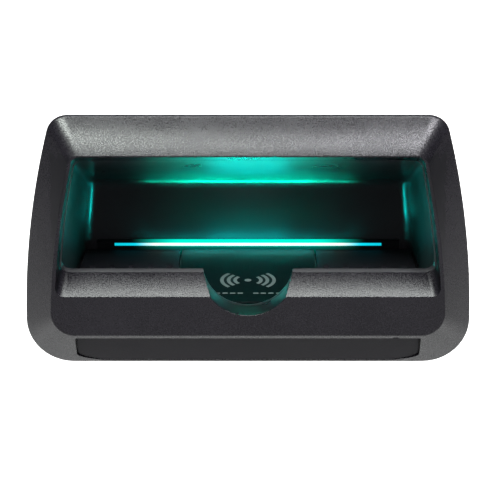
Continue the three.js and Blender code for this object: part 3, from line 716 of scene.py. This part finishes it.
def build_bezel():
    rings = rounded_rings(bezel_keys())
    bezel = ring_piece(
        "bezel_shell", rings, True, POCKET, BEZEL_PLASTIC, ["front_bezel"]
    )
    combine(bezel, recess_backing(), "UNION")
    combine(bezel, recess_space(), "DIFFERENCE")
    combine(bezel, pry_notch_space(), "DIFFERENCE")
    smooth_return(bezel)
    weigh_normals(bezel)


def build_strip():
    rear = on_strip(strip_outline(0), STRIP_THICKNESS)
    front = on_strip(strip_outline(0), 0.0)
    face = on_strip(strip_outline(-STRIP_RIM), 0.0)
    strip = ring_piece(
        "cover_strip_panel", rounded_rings([rear, (front, 0.4, 4), face]), False,
        STRIP_BODY, STRIP_PLASTIC, ["lower_cover_strip"]
    )
    weigh_normals(strip)


# ---------------------------------------------------------------- tub

def tub_rings(grow, straight_steps=8, fillet_steps=14):
    """Rings from the flange to the back wall, with a fillet round the wall, set out by grow."""
    slope = math.atan(CEILING_SLOPE)
    turn = math.pi / 2 - slope
    centre_y = TUB_BACK - CEILING_FILLET
    centre_z = ceiling_height(TUB_BACK) - CEILING_FILLET * math.tan(turn / 2)
    rings = []

    def add(y, top, squeeze):
        shift = grow * max(0.0, (y - centre_y) / CEILING_FILLET)
        rings.append(ring(tub_outline(y, top, squeeze + TUB_STEP, grow), y + shift))

    for i in range(straight_steps + 1):
        y = blend(FLANGE_REAR, centre_y, i / straight_steps)
        add(y, ceiling_height(y), 0)
    for i in range(1, fillet_steps + 1):
        angle = math.pi / 2 * i / fillet_steps
        y = centre_y + CEILING_FILLET * math.sin(angle)
        rounded = y > centre_y + CEILING_FILLET * math.sin(slope)
        top = centre_z + CEILING_FILLET * math.cos(angle) if rounded else ceiling_height(y)
        add(y, top, CORNER_FILLET * (1 - math.cos(angle)))
    return rings


def build_tub():
    flange = flange_outline()
    rings = rounded_rings([
        *reversed(tub_rings(TUB_EASE)),
        (ring(mouth_outline(FLANGE_REAR, squeeze=TUB_STEP), FLANGE_REAR), 0.5, 3),
        (ring(mouth_outline(FLANGE_FRONT, squeeze=TUB_STEP), FLANGE_FRONT), 0.1, 2),
        (ring(flange, FLANGE_FRONT), 0.3, 2),
        ring(flange, FLANGE_REAR),
        *tub_rings(TUB_WALL),
    ])
    tub = ring_piece("tub_moulding", rings, False, POCKET, TUB_PLASTIC, ["pocket_tub"])
    weigh_normals(tub)


# ---------------------------------------------------------------- pad, mats and mark

def pad_top(y):
    return PAD_FRONT_TOP + PAD_SLOPE * (y - pad_low.y)


def rounded_rectangle(low_x, high_x, low_y, high_y, radius, steps=6):
    corners = [
        (high_x - radius, low_y + radius, -90),
        (high_x - radius, high_y - radius, 0),
        (low_x + radius, high_y - radius, 90),
        (low_x + radius, low_y + radius, 180),
    ]
    points = []
    for x, y, start in corners:
        for i in range(steps + 1):
            angle = math.radians(start + 90 * i / steps)
            points.append((x + radius * math.cos(angle), y + radius * math.sin(angle)))
    return points


def build_pad():
    def top_ring(inset):
        across = (pad_low.x + inset, pad_high.x - inset)
        deep = (pad_low.y + inset, pad_high.y - inset)
        shape = rounded_rectangle(*across, *deep, PAD_CORNER - inset * 0.5)
        return [Vector((x, y, pad_top(y))) for x, y in shape]

    edge = top_ring(0)
    foot = [Vector((p.x, p.y, pad_low.z)) for p in edge]
    rings = rounded_rings([foot, (edge, PAD_ROUNDING, 5), top_ring(PAD_RIM)])
    pad = ring_piece(
        "charging_pad_cover", rings, False, POCKET, PAD_PLASTIC, ["charging_pad"]
    )
    weigh_normals(pad)


def flat_shape(name, points, lift=0.06, thickness=0.05):
    """A thin printed shape that lies on the pad. Its points are (x, y) round its edge."""
    low = [Vector((x, y, pad_top(y) + lift - thickness)) for x, y in points]
    high = [Vector((x, y, pad_top(y) + lift)) for x, y in points]
    ring_piece(name, [low, high], False, POCKET, PRINT_GREY)


def arc_points(side, radius, steps=14):
    turns = [blend(-ARC_SPREAD, ARC_SPREAD, i / steps) for i in range(steps + 1)]
    outer = [(side * (radius + ARC_HALF_WIDTH), a) for a in turns]
    inner = [(side * (radius - ARC_HALF_WIDTH), a) for a in reversed(turns)]
    return [(r * math.cos(a), MARK_Y + abs(r) * math.sin(a)) for r, a in outer + inner]


def build_mark():
    """A plain charging mark: a dot with three arcs on each side, and a broken line in front of it."""
    turns = [math.tau * i / 24 for i in range(24)]
    dot = [(DOT_RADIUS * math.cos(a), MARK_Y + DOT_RADIUS * math.sin(a)) for a in turns]
    flat_shape("mark_dot", dot)
    for side, label in ((1, "right"), (-1, "left")):
        for n, radius in enumerate(ARC_RADII):
            flat_shape(f"mark_arc_{label}_{n + 1}", arc_points(side, radius))
        for n in range(DASH_COUNT):
            start = DASH_FIRST + DASH_PITCH * n
            across = sorted((side * start, side * (start + DASH_LENGTH)))
            deep = (DASH_Y - DASH_HALF_WIDTH, DASH_Y + DASH_HALF_WIDTH)
            dash = rounded_rectangle(*across, *deep, DASH_CORNER, 3)
            flat_shape(f"mark_dash_{label}_{n + 1}", dash)


def mat_outer(y):
    return blend(MAT_OUTER_FRONT, MAT_OUTER_BACK, (y - pad_low.y) / (pad_high.y - pad_low.y))


def mat_height(x, y):
    """The height of the mat's top, with its eased edges and its grooves."""
    edge = min(x - mat_low.x, mat_outer(y) - x, y - pad_low.y, pad_high.y - y)
    round_off = MAT_EASE * (1 - math.sqrt(max(0.0, 1 - (1 - min(edge, MAT_EASE) / MAT_EASE) ** 2)))
    nearest = round((x - GROOVE_FIRST) / GROOVE_PITCH)
    middle = GROOVE_FIRST + GROOVE_PITCH * max(0, min(GROOVE_COUNT - 1, nearest))
    shoulder = GROOVE_WIDTH * GROOVE_SHOULDER
    across = smooth_step((shoulder - abs(x - middle)) / (GROOVE_WIDTH * GROOVE_FLANK))
    along = smooth_step((GROOVE_END + GROOVE_RUNOUT / 2 - y) / GROOVE_RUNOUT)
    return pad_top(y) - MAT_DROP - round_off - GROOVE_DEPTH * across * along


def mat_columns(y):
    """The x of the mat's points at a depth, closer together at its edges and grooves."""
    low, high = mat_low.x, mat_outer(y)
    xs = [low, low + MAT_EDGE_STEP, low + MAT_EASE]
    for g in range(GROOVE_COUNT):
        middle = GROOVE_FIRST + g * GROOVE_PITCH
        xs += [middle - GROOVE_WIDTH * f for f in reversed(GROOVE_FLANK_POINTS)]
        xs += [middle, *[middle + GROOVE_WIDTH * f for f in GROOVE_FLANK_POINTS]]
    return xs + [high - MAT_EASE, high - MAT_EDGE_STEP, high]


def mat_rows(near_end=0.8, end_step=0.3):
    """Depths of the mat's points, closer together at its edges and where the grooves end."""
    low, high = pad_low.y, pad_high.y
    ys = [low, low + MAT_EDGE_STEP, low + MAT_EASE]
    ys += [blend(low + MAT_EASE, GROOVE_END - near_end, i / 8) for i in range(1, 8)]
    ys += [GROOVE_END + end_step * i for i in range(-2, 3)]
    ys += [blend(GROOVE_END + near_end, high - MAT_EASE, i / 5) for i in range(1, 5)]
    return ys + [high - MAT_EASE, high - MAT_EDGE_STEP, high]


def build_mat(sign, name, node):
    """A rubber mat with rounded grooves that run back from its front edge."""
    ys = mat_rows()
    top = [Vector((sign * x, y, mat_height(x, y))) for y in ys for x in mat_columns(y)]
    across = len(top) // len(ys)
    vertices = top + [Vector((p.x, p.y, pad_low.z)) for p in top]
    under = len(top)
    faces = []
    for j in range(len(ys) - 1):
        for i in range(across - 1):
            a = j * across + i
            quad = (a, a + 1, a + across + 1, a + across)
            faces.append(quad)
            faces.append(tuple(under + k for k in reversed(quad)))
    border = list(range(across)) + [j * across + across - 1 for j in range(1, len(ys))]
    border += [(len(ys) - 1) * across + i for i in range(across - 2, -1, -1)]
    border += [j * across for j in range(len(ys) - 2, 0, -1)]
    for a, b in zip(border, border[1:] + border[:1]):
        faces.append((a, under + a, under + b, b))
    new_piece(name, vertices, faces, POCKET, MAT_RUBBER, [node])


# ---------------------------------------------------------------- carried-over nodes

def dress(node, material, bevel):
    """Gives a node of the frame its material, and eases its edges by a bevel in mm."""
    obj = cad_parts[node]
    obj.data.materials.clear()
    obj.data.materials.append(material)
    if bevel:
        modifier = obj.modifiers.new("ease", "BEVEL")
        modifier.width = bevel * MM
        modifier.segments = 2
        modifier.limit_method = "ANGLE"
        modifier.angle_limit = math.radians(40)
        modifier.harden_normals = False


# Material and bevel of the nodes that are shown with the frame's own mesh.
NODE_LOOKS = {
    "flange_gasket": (SEAL_RUBBER, 0),
    "light_bar": (BAR_PLASTIC_PAINTED_GLOW, 0.15),
    "light_window": (WINDOW_GLOW, 0.2),
    "led_board": (BOARD_GREEN, 0),
    "charging_coil": (COIL_COPPER, 0),
    "ferrite_plate": (FERRITE_GREY, 0),
    "charger_board": (BOARD_GREEN, 0),
    "charger_chip": (CHIP_BLACK, 0.15),
    "power_inductor": (FERRITE_GREY, 0.4),
    "lead_connector": (CONNECTOR_WHITE, 0.3),
    "electronics_housing": (HOUSING_PLASTIC, 0.4),
    "housing_seal": (SEAL_RUBBER, 0),
    "gland_body": (GLAND_NYLON, 0.2),
    "gland_seal": (SEAL_RUBBER, 0.1),
    "gland_lock_nut": (GLAND_NYLON, 0.2),
    "gland_cap": (GLAND_NYLON, 0.4),
}


def dress_nodes():
    for node, (material, bevel) in NODE_LOOKS.items():
        dress(node, material, bevel)
    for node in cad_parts:
        if "screw" in node:
            dress(node, SCREW_STEEL, 0.12)
        if node.startswith("led_chip"):
            dress(node, LED_WHITE, 0.1)
        if node.startswith("filter_capacitor"):
            dress(node, CAN_ALUMINIUM, 0.3)


# ---------------------------------------------------------------- camera, lights and floor, in metres

def aim(obj, target):
    direction = Vector(target) - obj.location
    obj.rotation_euler = direction.to_track_quat("-Z", "Y").to_euler()


def build_camera(distance=1.1, elevation=math.radians(22)):
    data = bpy.data.cameras.new("camera")
    camera = link_object("camera", data)
    camera.location = (0, -distance * math.cos(elevation), distance * math.sin(elevation))
    aim(camera, (0, 0, 0))
    data.sensor_width = 36
    data.lens = 161.0
    data.shift_x = 0.004
    data.shift_y = -0.0211
    data.clip_start = 0.01
    bpy.context.scene.camera = camera


def area_light(name, place, target, size, power, colour=(1, 1, 1), spread=180, glossy=True, diffuse=True):
    """A lamp that is left out of highlights or of diffuse light when glossy or diffuse is False."""
    data = bpy.data.lights.new(name, "AREA")
    data.shape = "RECTANGLE"
    data.size, data.size_y = size
    data.energy = power
    data.color = colour
    data.spread = math.radians(spread)
    light = link_object(name, data)
    light.location = place
    aim(light, target)
    light.visible_camera = False
    light.visible_glossy = glossy
    light.visible_diffuse = diffuse


def build_room_lights():
    """Two slim lamps and a wide one above, a bright wall behind, and weak lamps from the front."""
    area_light(
        "overhead", (0, -0.12, 0.85), (0, -0.01, 0), (0.8, 0.20), 1.5, (0.96, 1, 0.975), spread=70
    )
    slim = (0.80, 0.07)
    area_light(
        "front_left", (-0.38, -0.60, 0.835), (-0.04, -0.01, 0.03), slim, 2.6, (0.93, 1, 0.94), spread=70
    )
    area_light(
        "front_right", (0.38, -0.60, 0.835), (0.04, -0.01, 0.03), slim, 2.1, (0.96, 0.95, 1), spread=70
    )
    for side, label in ((-1, "left"), (1, "right")):
        place = (side * 0.36, -0.16, -0.35)
        target = (side * 0.08, -0.01, -0.04)
        area_light(f"low_{label}", place, target, (0.3, 0.2), 0.07, spread=90)
    area_light("background", (0, 1.3, 0.9), (0, 1.3, -0.4), (4.0, 1.8), 130, spread=120, glossy=False)
    area_light(
        "low_front", (0.12, -1.0, -0.37), (0, 0, 0), (0.8, 0.3), 0.60, (0.98, 0.93, 1), diffuse=False
    )
    area_light("fill", (0, -1.0, 0.3), (0, 0.06, -0.01), (0.3, 0.3), 1.2, spread=120, glossy=False)


# Shares of the power of a row of light, each with the width of the bar that gives it, in metres.
BROAD_ROW = ((0.5, 0.070), (0.3, 0.088), (0.2, 0.110))
NARROW_ROW = ((0.5, 0.040), (0.3, 0.070), (0.2, 0.100))
TEAL = (0.0, 1.0, 0.62)
CYAN = (0.0, 1.0, 0.92)


def glow_row(name, place, target, row, power, colour, spread=180, glossy=True, diffuse=True):
    """A row of light that fades towards its ends: bars of different widths on top of each other."""
    for n, (share, width) in enumerate(row):
        area_light(
            f"{name}_{n + 1}", place, target, (width, 0.002), power * share, colour, spread, glossy, diffuse
        )


def build_glow():
    """The light of the bar: up to the ceiling, along the back wall, and out over the pad."""
    top = bar_high.z * MM + 0.0002
    y = window_high.y * MM
    above = (0, y, top)
    up = (0, y, top + 0.1)
    glow_row("glow_back", above, (0, y - 0.010, top + 0.1), BROAD_ROW, 0.021, TEAL, 60, diffuse=False)
    glow_row("glow_roof", above, (0, y - 0.1, top + 0.1), BROAD_ROW, 0.0022, TEAL, 60, diffuse=False)
    glow_row("glow_wall", above, up, NARROW_ROW, 0.004, CYAN, 150, glossy=False)
    glow_row("glow_halo", above, up, NARROW_ROW, 0.07, CYAN, diffuse=False)
    foot_z = top + 0.0005
    near_wall = (0, y - 0.001, foot_z)
    glow_row("glow_foot", near_wall, (0, 0.1, foot_z), NARROW_ROW, 0.030, CYAN, glossy=False)
    for side, label in ((-1, "left"), (1, "right")):
        for n in range(5):
            place = (side * (0.050 - 0.020 * n), y - 0.001, foot_z)
            target = (side * 0.15, y - 0.001, top + 0.05)
            size = (0.006, 0.002)
            area_light(f"glow_{label}_{n + 1}", place, target, size, 0.0015, CYAN, 100, diffuse=False)
    area_light("glow_ends", above, (0, y, 0.1), (0.12, 0.002), 0.004, CYAN, glossy=False)
    front = window_low.y * MM - 0.0002
    over_pad = (0, front, pad_high.z * MM + 0.0012)
    area_light("glow_pad", over_pad, (0, 0.06, -0.045), (0.066, 0.001), 0.060, CYAN, glossy=False)
    middle_z = (window_low.z + window_high.z) / 2 * MM
    area_light(
        "glow_glint", (0, front, middle_z), (0, 0, middle_z), (0.09, 0.001), 0.0010, CYAN, diffuse=False
    )


def build_floor(half=4.0, height=-0.40):
    mesh = bpy.data.meshes.new("floor")
    corners = [(-half, -half), (half, -half), (half, half), (-half, half)]
    mesh.from_pydata([(x, y, height) for x, y in corners], [], [(0, 1, 2, 3)])
    floor = link_object("floor", mesh)
    material, _, shader = new_material("floor_white")
    shader.inputs["Base Color"].default_value = (0.6, 0.6, 0.6, 1)
    shader.inputs["Roughness"].default_value = 0.8
    shader.inputs["Emission Color"].default_value = (1, 1, 1, 1)
    shader.inputs["Emission Strength"].default_value = 0.14
    floor.data.materials.append(material)


def build_world():
    world = bpy.data.worlds.new("studio")
    bpy.context.scene.world = world
    world.use_nodes = True
    background = world.node_tree.nodes["Background"]
    background.inputs["Color"].default_value = (1, 1, 1, 1)
    background.inputs["Strength"].default_value = 0.09
    bpy.context.scene.view_settings.view_transform = "Standard"


build_camera()
build_world()
build_floor()
build_room_lights()
build_glow()
build_bezel()
build_strip()
build_tub()
build_pad()
build_mark()
build_mat(1, "right_mat", "right_grip_mat")
build_mat(-1, "left_mat", "left_grip_mat")
dress_nodes()
